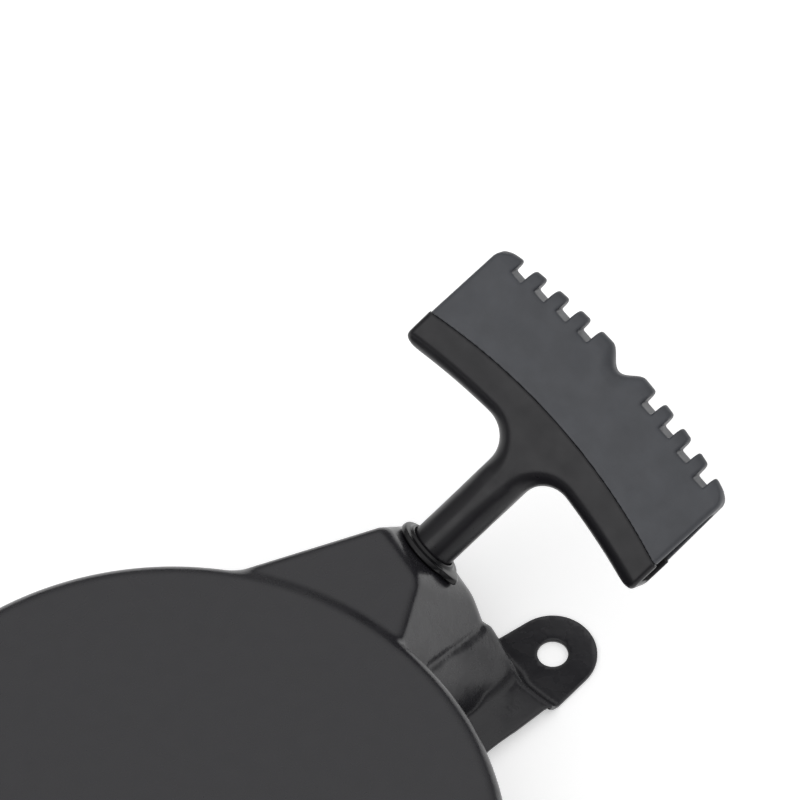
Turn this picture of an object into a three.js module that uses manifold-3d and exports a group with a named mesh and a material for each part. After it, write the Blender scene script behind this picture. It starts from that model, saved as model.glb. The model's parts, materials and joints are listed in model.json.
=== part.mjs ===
// Recoil starter of a small engine: pressed cover with four ears, rope pulley with pawls, rope and T-handle.
// Millimetres. +Z points away from the engine along the crank axis. The origin is the centre of the
// cover's flat outer face, so the whole starter lies below z = 0 except for the handle.
import * as THREE from 'three';
import { ConvexGeometry } from 'three/addons/geometries/ConvexGeometry.js';
import { mergeVertices } from 'three/addons/utils/BufferGeometryUtils.js';
import Module from 'manifold-3d';

const wasm = await Module();
wasm.setup();

// ---------------------------------------------------------------- driving dimensions
const gap = 0.3; // clearance between neighbouring pieces
const sheet = 1.5; // pressed steel thickness of the cover

const drumRadius = 91.5; // outside of the drum just under its shoulder
const drumDepth = 50; // from the flat face to the mounting plane
const drumDraft = 2.5; // how much wider the drum is at its lower edge
const shoulderRadius = 5.3;
const lipWidth = 2.5; // the drum's lower edge turned out, level with the legs

const earCount = 4;
const firstEarAzimuth = 41.2; // degrees from +X
const earReach = 46.5; // from the drum's radius out to the bolt hole
const boltHoleRadius = 4.25;
const earRadius = 12.3;
const earRootHalfWidth = 14;
const legHalfWidth = 13.2;
const legStep = 3; // height of the leg above the ear
const stepInset = 11.6; // from the bolt hole in to the step
const legFillet = 9;

const exitAzimuth = 30.6; // direction in which the rope leaves, in plan
const exitElevation = 36; // and upward
const exitSeatReach = 32.6; // eyelet seat's distance beyond the drum's radius
const exitSeatAzimuth = 56.1;
const exitSeatDrop = 15.5; // eyelet seat below the flat face
const exitFacetMargin = 5.5; // from the eyelet's hole down to the facet's lower edge
const turretDrop = 2; // turret's top below the flat face
const turretWallAzimuth = 110;
const turretWallDraft = 24;
const turretHeelAzimuth = 145; // where the turret's wall runs back into the drum
const turretWallMargin = 1.38; // from the eyelet's hole to the wall
const turretFlankAzimuth = -14.6;
const turretFlankElevation = 27.1;
const turretFlankInset = 48.8;
const exitWallDraft = 2;
const turretFootAzimuth = -28; // short steep wall where the flank ends above the first leg
const turretFootElevation = 10.5;
const turretFootInset = 20; // its distance inside the drum's radius, at turretFootDrop
const turretFootDrop = 18.7;
const turretSideElevation = 12; // wall that ends the turret over the first leg
const turretSideReach = 2; // where it meets the leg, past the leg's middle line
const gussetSideElevation = 20; // steep side of the first leg's gusset
const gussetSideReach = 1.5; // where it meets the leg, past the leg's middle line
const gussetRampTurn = 46.7; // heading of the gusset's ramp, from the leg's own
const gussetRampElevation = 40.6; // its middle line ends on the leg at the step

const ropeDiameter = 4.8;
const ropeLayers = 2;
const ropeTurnsPerLayer = 2;
const ropeBendRadius = 14;

const eyeletFlangeOverhang = 1.9; // flange's radius beyond the cover's hole
const eyeletFlangeThickness = 2.5;
const eyeletWall = 0.9;
const eyeletRecess = 4; // how deep the handle's neck sits in the eyelet
const eyeletThroatSlack = 1; // room round the rope in the eyelet
const eyeletTail = 4.7; // length of the tail behind the inner flange
const eyeletInnerFlange = 1.8;
const eyeletInnerOverhang = 0.7; // inner flange's radius beyond the cover's hole

const neckRadius = 6.7;
const neckBoreSlack = 0.8; // room round the rope in the neck
const handleTwist = 21.1; // degrees that the crossbar is turned about the neck
const barHalfLength = 46.9;
const barTop = 76.6; // top of the crossbar above the eyelet's face, at its middle
const barTopArc = 218;
const barBottom = 38.6; // underside of the crossbar, at its middle
const barBottomArc = 200;
const barCorner = 3.6;
const flareRadius = 9.5;
const barHalfThickness = 7.4; // at the thickest place
const barHalfThicknessTop = 3.4; // at the notched edge
const barWall = 2.3;
const seamHeight = 51.4; // where the grip meets the body, at the middle
const seamArc = 178;
const notchWidth = 4;
const notchDepth = 4.5;
const firstNotch = 13.3; // from the middle to the first notch
const lastNotch = 9.3; // from the crossbar's end to the last notch
const notchesPerSide = 4;
const scallopHalfWidth = 7;
const scallopDepth = 4.6;

const postRadius = 7;
const postFlangeRadius = 15;
const postFlangeThickness = 2;
const springCaseRadius = 40;
const springCaseSheet = 0.8;
const springCaseDepth = 10.9;
const springThickness = 0.8;
const springTurns = 4.5;
const bushWall = 1.7;
const hubWall = 3.3;
const flangeThickness = 2;
const flangeOverhang = 4.1; // flange's radius beyond the full winding
const grooveRadius = 50;
const rimWall = 4;
const webThickness = 3.5;
const pulleyToCase = 2.5;
const hubProud = 1.8; // hub's length below the web
const lighteningHoles = 6;
const lighteningHoleRadius = 5.5;

const washerThickness = 1;
const thrustWasherRadius = 13;
const brakeWire = 1.2;
const brakeTurns = 2;
const pawlPitchRadius = 24;
const pawlPinRadius = 2.5;
const pawlThickness = 4;
const pawlHeelRadius = 5;
const pawlTipRadius = 3.2;
const pawlTip = [-4, -17]; // tip from the pin, first pawl
const pawlPegShare = 0.55; // place of the drive peg between the pin and the tip
const pawlPegRadius = 1.8;
const pawlSpringWire = 0.8;
const pawlSpringTurns = 1.5;
const pawlSpringPitch = 1.1;
const pawlSwing = 28; // degrees
const retainerTurn = 30; // degrees
const retainerRadius = 34;
const retainerThickness = 1.5;
const screwRadius = 3;
const screwHeadRadius = 5.6;
const screwHeadHeight = 4;
const screwWasherRadius = 11.5;

// ---------------------------------------------------------------- derived places
const rad = THREE.MathUtils.degToRad;

function direction(azimuth, elevation) {
  return new THREE.Vector3(
    Math.cos(rad(elevation)) * Math.cos(rad(azimuth)),
    Math.cos(rad(elevation)) * Math.sin(rad(azimuth)),
    Math.sin(rad(elevation)),
  );
}

const holeCircle = drumRadius + earReach;
const drumBase = drumRadius + drumDraft;
const legTop = -drumDepth + sheet + legStep;
const wallBottom = legTop - sheet;

const exitAxis = direction(exitAzimuth, exitElevation);
const exitDownhill = direction(exitAzimuth, exitElevation - 90);
const exitSeat = direction(exitSeatAzimuth, 0).multiplyScalar(drumRadius + exitSeatReach);
exitSeat.z = -exitSeatDrop;
const eyeletFace = exitSeat.clone().addScaledVector(exitAxis, gap + eyeletFlangeThickness);

const eyeletThroat = ropeDiameter / 2 + eyeletThroatSlack;
const eyeletBarrel = neckRadius + gap + eyeletWall;
const eyeletHoleRadius = eyeletBarrel + gap;
const eyeletFlangeRadius = eyeletHoleRadius + eyeletFlangeOverhang;
const eyeletInnerFlangeRadius = eyeletHoleRadius + eyeletInnerOverhang;
const neckBore = ropeDiameter / 2 + neckBoreSlack;
const notchPitch = (barHalfLength - lastNotch - firstNotch) / (notchesPerSide - 1);

const postTop = -sheet - gap;
const caseTop = postTop - postFlangeThickness - gap;
const caseFloor = caseTop - springCaseSheet;
const caseRim = caseTop - springCaseDepth;
const grooveWidth = ropeTurnsPerLayer * ropeDiameter + 2 * gap;
const pulleyTop = caseRim - pulleyToCase;
const grooveTop = pulleyTop - flangeThickness;
const grooveMiddle = grooveTop - grooveWidth / 2;
const grooveBottom = grooveTop - grooveWidth;
const pulleyBottom = grooveBottom - flangeThickness;
const webTop = pulleyBottom + webThickness;
const hubBottom = pulleyBottom - hubProud;
const windingOuter = grooveRadius + gap + ropeLayers * ropeDiameter;
const flangeRadius = windingOuter + flangeOverhang;
const bushInner = postRadius + gap;
const bushOuter = bushInner + bushWall;
const hubInner = bushOuter + gap;
const hubOuter = hubInner + hubWall;
const thrustWasherTop = hubBottom - gap;
const pawlSpringTop = pulleyBottom - gap;
const pawlSpringHeight = pawlSpringTurns * pawlSpringPitch + pawlSpringWire;
const pawlTop = pawlSpringTop - pawlSpringHeight - gap;
const pawlBottom = pawlTop - pawlThickness;
const retainerTop = pawlBottom - 4 * gap;
const retainerBottom = retainerTop - retainerThickness;
const postBottom = retainerBottom - gap;
const screwWasherTop = postBottom - gap;
const screwHeadTop = screwWasherTop - washerThickness - gap;

// ---------------------------------------------------------------- geometry helpers
function weld(geometry) {
  // Merges equal corners, drops collapsed triangles and turns the faces outward.
  const bare = geometry.clone();
  bare.deleteAttribute('normal');
  bare.deleteAttribute('uv');
  const merged = mergeVertices(bare, 1e-4);
  const corners = merged.index.array;
  const place = merged.attributes.position;
  const point = [0, 1, 2].map(() => new THREE.Vector3());
  const kept = [];
  let volume = 0;
  for (let i = 0; i < corners.length; i += 3) {
    const [a, b, c] = [corners[i], corners[i + 1], corners[i + 2]];
    if (a === b || b === c || c === a) {
      continue;
    }
    kept.push(a, b, c);
    [a, b, c].forEach((corner, k) => point[k].fromBufferAttribute(place, corner));
    volume += point[0].dot(point[1].clone().cross(point[2]));
  }
  if (volume < 0) {
    kept.reverse();
  }
  merged.setIndex(kept);
  return merged;
}

function solidOf(geometry) {
  const welded = weld(geometry);
  return new wasm.Manifold(new wasm.Mesh({
    numProp: 3,
    vertProperties: new Float32Array(welded.attributes.position.array),
    triVerts: new Uint32Array(welded.index.array),
  }));
}

function geometryOf(solid) {
  const mesh = solid.getMesh();
  const geometry = new THREE.BufferGeometry();
  geometry.setAttribute('position', new THREE.BufferAttribute(new Float32Array(mesh.vertProperties), 3));
  geometry.setIndex(new THREE.BufferAttribute(new Uint32Array(mesh.triVerts), 1));
  return geometry;
}

function cut(from, ...tools) {
  return geometryOf(tools.reduce((left, tool) => left.subtract(solidOf(tool)), solidOf(from)));
}

function lathe(profile, segments = 36) {
  // profile: [radius, z] corners; it closes on itself unless both ends are on the axis.
  const corners = profile.map(([radius, z]) => new THREE.Vector2(radius, z));
  const onAxis = profile[0][0] === 0 && profile[profile.length - 1][0] === 0;
  if (!onAxis) {
    corners.push(corners[0].clone());
  }
  return new THREE.LatheGeometry(corners, segments).rotateX(Math.PI / 2);
}

function ring(inner, outer, bottom, top, segments = 36) {
  return lathe([[inner, bottom], [outer, bottom], [outer, top], [inner, top]], segments);
}

function disc(radius, bottom, top, segments = 36) {
  return lathe([[0, bottom], [radius, bottom], [radius, top], [0, top]], segments);
}

function plate(shape, bottom, top, curveSegments = 6) {
  const settings = { depth: top - bottom, bevelEnabled: false, curveSegments };
  return new THREE.ExtrudeGeometry(shape, settings).translate(0, 0, bottom);
}

function tube(path, diameter, steps, sides) {
  const section = new THREE.Shape();
  for (let i = 0; i < sides; i += 1) {
    const angle = (2 * Math.PI * i) / sides;
    const corner = [diameter / 2 * Math.cos(angle), diameter / 2 * Math.sin(angle)];
    section[i === 0 ? 'moveTo' : 'lineTo'](...corner);
  }
  section.closePath();
  return new THREE.ExtrudeGeometry(section, { extrudePath: path, steps, bevelEnabled: false });
}

class Coil extends THREE.Curve {
  constructor(radius, turns, top, bottom) {
    super();
    Object.assign(this, { radius, turns, top, bottom });
  }

  getPoint(t, target = new THREE.Vector3()) {
    const angle = 2 * Math.PI * this.turns * t;
    const height = this.top + (this.bottom - this.top) * t;
    return target.set(this.radius * Math.cos(angle), this.radius * Math.sin(angle), height);
  }
}

function convexBody(planes, inset) {
  // planes: [normal, distance]; the body is what lies behind all of them, moved in by inset.
  const corners = [];
  const limits = planes.map(([normal, distance, fixed]) => [normal, distance - (fixed ? 0 : inset)]);
  for (let i = 0; i < limits.length; i += 1) {
    for (let j = i + 1; j < limits.length; j += 1) {
      for (let k = j + 1; k < limits.length; k += 1) {
        const [[n1, d1], [n2, d2], [n3, d3]] = [limits[i], limits[j], limits[k]];
        const det = n1.dot(n2.clone().cross(n3));
        if (Math.abs(det) < 1e-6) {
          continue;
        }
        const corner = n2.clone().cross(n3).multiplyScalar(d1);
        corner.addScaledVector(n3.clone().cross(n1), d2);
        corner.addScaledVector(n1.clone().cross(n2), d3);
        corner.divideScalar(det);
        if (limits.every(([normal, distance]) => normal.dot(corner) < distance + 1e-6)) {
          corners.push(corner);
        }
      }
    }
  }
  return new ConvexGeometry(corners);
}

// ---------------------------------------------------------------- pressed cover
function drumBody(inset) {
  // The drum as a filled body, moved in by inset; its inner form runs past the lower edge.
  const bottom = inset > 0 ? wallBottom - sheet : wallBottom;
  const radius = shoulderRadius - inset;
  const centre = [drumRadius - shoulderRadius, -shoulderRadius];
  const draftPerDepth = drumDraft / (-wallBottom - shoulderRadius);
  const bottomRadius = drumRadius - inset + draftPerDepth * (-bottom - shoulderRadius);
  const profile = [[0, bottom], [bottomRadius, bottom]];
  const steps = 4;
  for (let i = 0; i <= steps; i += 1) {
    const angle = (Math.PI / 2) * (i / steps);
    profile.push([centre[0] + radius * Math.cos(angle), centre[1] + radius * Math.sin(angle)]);
  }
  profile.push([0, -inset]);
  return lathe(profile, 60);
}

const up = new THREE.Vector3(0, 0, 1);
const down = new THREE.Vector3(0, 0, -1);

function planeThrough(azimuth, elevation, distance, height) {
  // [outward normal, distance from the origin] of a plane that crosses the level of height
  // at the given distance from the crank axis.
  const normal = direction(azimuth, elevation);
  const point = direction(azimuth, 0).multiplyScalar(distance);
  point.z = height;
  return [normal, normal.dot(point)];
}

function floorPlane(inset) {
  return [down, -wallBottom + (inset > 0 ? sheet : 0), true];
}

function turretBody(inset) {
  const exitWall = direction(exitAzimuth, exitWallDraft);
  const lowerEdge = exitSeat.clone().addScaledVector(exitDownhill, eyeletHoleRadius + exitFacetMargin);
  const wall = direction(turretWallAzimuth, turretWallDraft);
  const planes = [
    [up, -turretDrop],
    floorPlane(inset),
    [wall, wall.dot(exitSeat) + eyeletHoleRadius + turretWallMargin],
    planeThrough(turretHeelAzimuth, turretWallDraft, drumBase, wallBottom),
    planeThrough(turretFlankAzimuth, turretFlankElevation, drumRadius - turretFlankInset, -turretDrop),
    planeThrough(turretFootAzimuth, turretFootElevation, drumRadius - turretFootInset, -turretFootDrop),
    planeThrough(firstEarAzimuth - 90, turretSideElevation, turretSideReach, legTop),
    [exitAxis, exitAxis.dot(exitSeat)],
    [exitWall, exitWall.dot(lowerEdge)],
    planeThrough(turretHeelAzimuth + 90, 0, 0, 0),
    planeThrough(turretWallAzimuth + 180, 0, 0, 0),
  ];
  return convexBody(planes, inset);
}

function gussetBody(inset) {
  // Ramp on the first leg, under the turret's flank, falling towards the ear and across the leg.
  const side = firstEarAzimuth - 90;
  const rampAzimuth = firstEarAzimuth - gussetRampTurn;
  const step = holeCircle - stepInset;
  const planes = [
    floorPlane(inset),
    planeThrough(side, gussetSideElevation, gussetSideReach, legTop),
    planeThrough(rampAzimuth, gussetRampElevation, step * Math.cos(rad(gussetRampTurn)), legTop),
    planeThrough(firstEarAzimuth, 0, step, 0),
    planeThrough(side + 180, 0, legHalfWidth, 0),
    planeThrough(firstEarAzimuth + 180, 0, -drumRadius + 2 * legFillet, 0),
  ];
  return convexBody(planes, inset);
}

function legPlan() {
  const centreRadius = drumBase + legFillet;
  const centreSide = legHalfWidth + legFillet;
  const centre = [Math.sqrt(centreRadius ** 2 - centreSide ** 2), centreSide];
  const toDrum = Math.atan2(centre[1], centre[0]);
  const rootRadius = drumBase - 2 * sheet;
  const root = [rootRadius * Math.cos(toDrum), rootRadius * Math.sin(toDrum)];
  const plan = new THREE.Shape();
  plan.moveTo(holeCircle - stepInset, -legHalfWidth);
  plan.lineTo(holeCircle - stepInset, legHalfWidth);
  plan.absarc(centre[0], centre[1], legFillet, -Math.PI / 2, toDrum - Math.PI, true);
  plan.lineTo(root[0], root[1]);
  plan.lineTo(root[0], -root[1]);
  plan.absarc(centre[0], -centre[1], legFillet, Math.PI - toDrum, Math.PI / 2, true);
  plan.closePath();
  return plan;
}

function earPlan() {
  const root = [-stepInset - sheet, earRootHalfWidth];
  const reach = Math.hypot(root[0], root[1]);
  const touch = Math.atan2(root[1], root[0]) - Math.acos(earRadius / reach);
  const plan = new THREE.Shape();
  plan.moveTo(holeCircle + root[0], root[1]);
  plan.lineTo(holeCircle + root[0], -root[1]);
  plan.absarc(holeCircle, 0, earRadius, -touch, touch, false);
  plan.closePath();
  return plan;
}

function stepPlan() {
  const outer = holeCircle - stepInset;
  const plan = new THREE.Shape();
  plan.moveTo(outer - sheet, -legHalfWidth);
  plan.lineTo(outer, -legHalfWidth);
  plan.lineTo(outer, legHalfWidth);
  plan.lineTo(outer - sheet, legHalfWidth);
  plan.closePath();
  return plan;
}

function coverShell() {
  let outside = solidOf(drumBody(0)).add(solidOf(turretBody(0))).add(solidOf(gussetBody(0)));
  let holes = solidOf(drumBody(sheet)).add(solidOf(turretBody(sheet))).add(solidOf(gussetBody(sheet)));
  const lipLevel = solidOf(disc(2 * drumRadius, wallBottom, legTop));
  for (const body of [drumBody, turretBody]) {
    outside = outside.add(solidOf(body(-lipWidth)).intersect(lipLevel));
  }
  for (let i = 0; i < earCount; i += 1) {
    const turn = rad(firstEarAzimuth + (360 / earCount) * i);
    const pieces = [
      plate(legPlan(), wallBottom, legTop),
      plate(stepPlan(), -drumDepth, legTop),
      plate(earPlan(), -drumDepth, -drumDepth + sheet, 10),
    ];
    for (const piece of pieces) {
      outside = outside.add(solidOf(piece.rotateZ(turn)));
    }
    const hole = disc(boltHoleRadius, -drumDepth - sheet, -drumDepth + 2 * sheet, 20);
    holes = holes.add(solidOf(hole.translate(holeCircle, 0, 0).rotateZ(turn)));
  }
  const eyeletHole = disc(eyeletHoleRadius, -3 * sheet, 3 * sheet);
  holes = holes.add(solidOf(eyeletHole.applyMatrix4(exitPlacement(exitSeat, 0))));
  return geometryOf(outside.subtract(holes));
}

// ---------------------------------------------------------------- eyelet, rope and handle
function exitPlacement(origin, twist) {
  // Local +Z along the rope's way out, local +X level and turned by twist degrees about it.
  const level = new THREE.Vector3(Math.sin(rad(exitAzimuth)), -Math.cos(rad(exitAzimuth)), 0);
  const along = level.applyAxisAngle(exitAxis, rad(twist));
  const across = exitAxis.clone().cross(along);
  return new THREE.Matrix4().makeBasis(along, across, exitAxis).setPosition(origin);
}

function eyeletBush() {
  const flangeBottom = gap;
  const flangeTop = gap + eyeletFlangeThickness;
  const recess = neckRadius + gap;
  const barrel = eyeletBarrel;
  const recessFloor = flangeTop - eyeletRecess - gap;
  const innerTop = -sheet - gap;
  const innerBottom = innerTop - eyeletInnerFlange;
  const tailEnd = innerBottom - eyeletTail;
  const edge = 0.8;
  return lathe([
    [eyeletThroat, recessFloor],
    [recess, recessFloor],
    [recess, flangeTop - edge],
    [recess + edge, flangeTop],
    [eyeletFlangeRadius - edge, flangeTop],
    [eyeletFlangeRadius, flangeTop - edge],
    [eyeletFlangeRadius, flangeBottom],
    [barrel, flangeBottom],
    [barrel, innerTop],
    [eyeletInnerFlangeRadius, innerTop],
    [eyeletInnerFlangeRadius, innerBottom],
    [barrel - edge, innerBottom],
    [barrel - 2 * edge, tailEnd],
    [eyeletThroat + 2 * edge, tailEnd],
    [eyeletThroat, tailEnd + 3 * edge],
  ], 32);
}

const ropeJoint = exitSeat.clone().addScaledVector(exitAxis, -sheet); // where run and lead meet

function ropeRun() {
  // From the full winding, straight to the crossing with the exit's axis, then up into the eyelet.
  const back = (exitSeat.z - grooveMiddle) / exitAxis.z;
  const crossing = exitSeat.clone().addScaledVector(exitAxis, -back);
  const layRadius = windingOuter - ropeDiameter / 2;
  const reach = Math.hypot(crossing.x, crossing.y);
  const touch = Math.atan2(crossing.y, crossing.x) + Math.acos(layRadius / reach);
  const leave = new THREE.Vector3(layRadius * Math.cos(touch), layRadius * Math.sin(touch), grooveMiddle);
  const along = crossing.clone().sub(leave).normalize();
  const clear = Math.sqrt((windingOuter + ropeDiameter / 2 + gap) ** 2 - layRadius ** 2) + gap;
  const start = leave.clone().addScaledVector(along, clear);
  const bend = ropeBendRadius * Math.tan(along.angleTo(exitAxis) / 2);
  const bendStart = crossing.clone().addScaledVector(along, -bend);
  const bendEnd = crossing.clone().addScaledVector(exitAxis, bend);
  const end = ropeJoint.clone().addScaledVector(exitAxis, -gap);
  const path = new THREE.CurvePath();
  path.add(new THREE.LineCurve3(start, bendStart));
  path.add(new THREE.QuadraticBezierCurve3(bendStart, crossing, bendEnd));
  path.add(new THREE.LineCurve3(bendEnd, end));
  return tube(path, ropeDiameter, 24, 10);
}

function flarePlan(top) {
  // Neck's flare into the crossbar and the crossbar's underside, up to z = top.
  const side = neckRadius + flareRadius;
  const rise = barBottom - side ** 2 / (2 * barBottomArc) - flareRadius;
  const low = rise - flareRadius;
  const plan = new THREE.Shape();
  plan.moveTo(-neckRadius, low);
  plan.lineTo(neckRadius, low);
  plan.absarc(side, rise, flareRadius, Math.PI, Math.PI / 2, true);
  const ends = 6;
  for (let i = 1; i <= ends; i += 1) {
    const x = side + (barHalfLength - barCorner - side) * (i / ends);
    plan.lineTo(x, barBottom - x ** 2 / (2 * barBottomArc));
  }
  const cornerHeight = barBottom - barHalfLength ** 2 / (2 * barBottomArc) + barCorner;
  plan.lineTo(barHalfLength, cornerHeight);
  plan.lineTo(barHalfLength, top);
  plan.lineTo(-barHalfLength, top);
  plan.lineTo(-barHalfLength, cornerHeight);
  for (let i = ends; i >= 1; i -= 1) {
    const x = side + (barHalfLength - barCorner - side) * (i / ends);
    plan.lineTo(-x, barBottom - x ** 2 / (2 * barBottomArc));
  }
  plan.absarc(-side, rise, flareRadius, Math.PI / 2, 0, true);
  plan.closePath();
  return plan;
}

function arcBand(bottom, bottomArc, top, topArc, halfLength) {
  // A band along the crossbar between two shallow arcs.
  const steps = 12;
  const plan = new THREE.Shape();
  for (let i = 0; i <= steps; i += 1) {
    const x = -halfLength + (2 * halfLength * i) / steps;
    plan[i === 0 ? 'moveTo' : 'lineTo'](x, bottom - x ** 2 / (2 * bottomArc));
  }
  for (let i = steps; i >= 0; i -= 1) {
    const x = -halfLength + (2 * halfLength * i) / steps;
    plan.lineTo(x, top - x ** 2 / (2 * topArc));
  }
  plan.closePath();
  return plan;
}

function standing(plan, halfDepth) {
  // Stands a drawing of the crossbar's front up in the handle's XZ plane.
  return plate(plan, -halfDepth, halfDepth).rotateX(Math.PI / 2);
}

function barSection(inset) {
  // The crossbar's wedge section, extruded along its length; the cavity is the same, moved in.
  const widest = seamHeight - barCorner;
  const corners = [
    [neckRadius - inset, -neckRadius],
    [barHalfThickness - inset, widest],
    [barHalfThicknessTop - inset, barTop - 2],
    [barHalfThicknessTop - 1 - inset * 0.8, barTop + 1],
  ];
  const section = new THREE.Shape();
  corners.forEach(([y, z], i) => section[i === 0 ? 'moveTo' : 'lineTo'](z, y));
  corners.reverse().forEach(([y, z]) => section.lineTo(z, -y));
  section.closePath();
  const length = 2 * barHalfLength + 4;
  const bar = new THREE.ExtrudeGeometry(section, { depth: length, bevelEnabled: false });
  const stand = new THREE.Matrix4().makeBasis(
    new THREE.Vector3(0, 0, 1),
    new THREE.Vector3(0, 1, 0),
    new THREE.Vector3(-1, 0, 0),
  );
  return bar.translate(0, 0, -length / 2).applyMatrix4(stand);
}

const cavityFloor = barBottom + barWall;
const cavityRoof = barTop - notchDepth - barWall;

function barCavity() {
  const halfLength = barHalfLength + 1;
  const front = arcBand(cavityFloor, barBottomArc, cavityRoof, barTopArc, halfLength);
  return solidOf(standing(front, barHalfThickness)).intersect(solidOf(barSection(barWall)));
}

function handleBody() {
  const below = arcBand(-barTop, seamArc, seamHeight, seamArc, barHalfLength + 1);
  const bar = solidOf(standing(flarePlan(seamHeight + gap), 2 * barHalfThickness))
    .intersect(solidOf(barSection(0)))
    .intersect(solidOf(standing(below, 2 * barHalfThickness)));
  const neck = disc(neckRadius, -eyeletRecess, barBottom);
  const bore = disc(neckBore, -2 * eyeletRecess, cavityFloor + barWall, 24);
  return geometryOf(bar.add(solidOf(neck)).subtract(barCavity()).subtract(solidOf(bore)));
}

function notchCut(x, bottom) {
  const height = barTop - bottom + 2;
  const box = new THREE.BoxGeometry(notchWidth, 4 * barHalfThickness, height);
  return solidOf(box.translate(x, 0, bottom + height / 2));
}

function gripCover() {
  const front = arcBand(seamHeight + gap, seamArc, barTop, barTopArc, barHalfLength);
  let grip = solidOf(standing(front, 2 * barHalfThickness)).intersect(solidOf(barSection(0)));
  grip = grip.subtract(barCavity());
  for (let i = 0; i < notchesPerSide; i += 1) {
    const x = firstNotch + notchPitch * i;
    const bottom = barTop - x ** 2 / (2 * barTopArc) - notchDepth;
    grip = grip.subtract(notchCut(x, bottom)).subtract(notchCut(-x, bottom));
  }
  const scallop = new THREE.Shape();
  const steps = 10;
  for (let i = 0; i <= steps; i += 1) {
    const share = -1 + (2 * i) / steps;
    const depth = scallopDepth * 0.5 * (1 + Math.cos(Math.PI * share));
    scallop[i === 0 ? 'moveTo' : 'lineTo'](scallopHalfWidth * share, barTop - depth);
  }
  scallop.lineTo(scallopHalfWidth, barTop + 2);
  scallop.lineTo(-scallopHalfWidth, barTop + 2);
  scallop.closePath();
  return geometryOf(grip.subtract(solidOf(standing(scallop, 2 * barHalfThickness))));
}

const knotWasherTop = cavityFloor + gap + washerThickness;
const endKnotHeight = 2 * ropeDiameter;

function ropeLead() {
  // Straight rope from the eyelet's throat up the neck to the knot, in the eyelet's own frame.
  const top = gap + eyeletFlangeThickness + knotWasherTop;
  return disc(ropeDiameter / 2, -sheet, top, 16);
}

function knot(width, height) {
  return new THREE.SphereGeometry(1, 16, 10).rotateX(Math.PI / 2).scale(width, width, height / 2);
}

// ---------------------------------------------------------------- pulley, spring and pawls
function springCase() {
  const centreHole = postRadius + gap;
  return lathe([
    [centreHole, caseFloor],
    [springCaseRadius - springCaseSheet, caseFloor],
    [springCaseRadius - springCaseSheet, caseRim],
    [springCaseRadius, caseRim],
    [springCaseRadius, caseTop],
    [centreHole, caseTop],
  ], 44);
}

function rewindSpring() {
  const inner = hubOuter + 3 * gap;
  const outer = springCaseRadius - springCaseSheet - springThickness - gap;
  const steps = Math.round(20 * springTurns);
  const outline = new THREE.Shape();
  function spiral(i, offset) {
    const share = i / steps;
    const angle = -2 * Math.PI * springTurns * share;
    const radius = inner + (outer - inner) * share + offset;
    return [radius * Math.cos(angle), radius * Math.sin(angle)];
  }
  for (let i = 0; i <= steps; i += 1) {
    outline[i === 0 ? 'moveTo' : 'lineTo'](...spiral(i, 0));
  }
  for (let i = steps; i >= 0; i -= 1) {
    outline.lineTo(...spiral(i, springThickness));
  }
  outline.closePath();
  return plate(outline, caseRim + gap, caseFloor - gap);
}

function ropePulley() {
  const hubTop = caseFloor - 2 * gap;
  const rimInner = grooveRadius - rimWall;
  const wheel = lathe([
    [hubInner, hubBottom],
    [hubOuter, hubBottom],
    [hubOuter, pulleyBottom],
    [flangeRadius, pulleyBottom],
    [flangeRadius, grooveBottom],
    [grooveRadius, grooveBottom],
    [grooveRadius, grooveTop],
    [flangeRadius, grooveTop],
    [flangeRadius, pulleyTop],
    [rimInner, pulleyTop],
    [rimInner, webTop],
    [hubOuter, webTop],
    [hubOuter, hubTop],
    [hubInner, hubTop],
  ], 48);
  const cuts = [];
  for (const side of [0, Math.PI]) {
    const pinHole = disc(pawlPinRadius + gap, pulleyBottom - 1, webTop + 1, 16);
    cuts.push(pinHole.translate(pawlPitchRadius, 0, 0).rotateZ(side));
  }
  for (let i = 0; i < lighteningHoles; i += 1) {
    const hole = disc(lighteningHoleRadius, pulleyBottom - 1, webTop + 1, 14);
    const middle = (pawlPitchRadius + rimInner) / 2 + 1;
    cuts.push(hole.translate(middle, 0, 0).rotateZ((2 * Math.PI * (i + 0.5)) / lighteningHoles));
  }
  const ropeHole = disc(ropeDiameter / 2 + gap, rimInner - 2, grooveRadius + 2, 12);
  cuts.push(ropeHole.rotateY(Math.PI / 2).translate(0, 0, grooveMiddle));
  return cut(wheel, ...cuts);
}

const pawlPegOffset = pawlTip.map((value) => value * pawlPegShare);

function pawl() {
  // Origin at the pin's axis; heel and tip joined by straight flanks, with the drive peg below.
  const length = Math.hypot(...pawlTip);
  const heading = Math.atan2(pawlTip[1], pawlTip[0]);
  const lean = Math.acos((pawlHeelRadius - pawlTipRadius) / length);
  const plan = new THREE.Shape();
  plan.absarc(0, 0, pawlHeelRadius, heading + lean, heading - lean + 2 * Math.PI, false);
  plan.absarc(pawlTip[0], pawlTip[1], pawlTipRadius, heading - lean, heading + lean, false);
  plan.closePath();
  const arm = solidOf(plate(plan, pawlBottom, pawlTop, 12));
  const peg = disc(pawlPegRadius, retainerBottom + gap, pawlBottom + 1, 14);
  peg.translate(pawlPegOffset[0], pawlPegOffset[1], 0);
  const pinHole = disc(pawlPinRadius + gap, pawlBottom - 1, pawlTop + 1, 18);
  return geometryOf(arm.add(solidOf(peg)).subtract(solidOf(pinHole)));
}

function pawlPin() {
  const head = [pawlPinRadius + 1.5, webTop + gap + 1.2];
  const groove = pawlBottom - gap;
  return lathe([
    [0, groove],
    [pawlPinRadius, groove],
    [pawlPinRadius, webTop + gap],
    [head[0], webTop + gap],
    [head[0], head[1]],
    [0, head[1]],
  ], 18);
}

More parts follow.
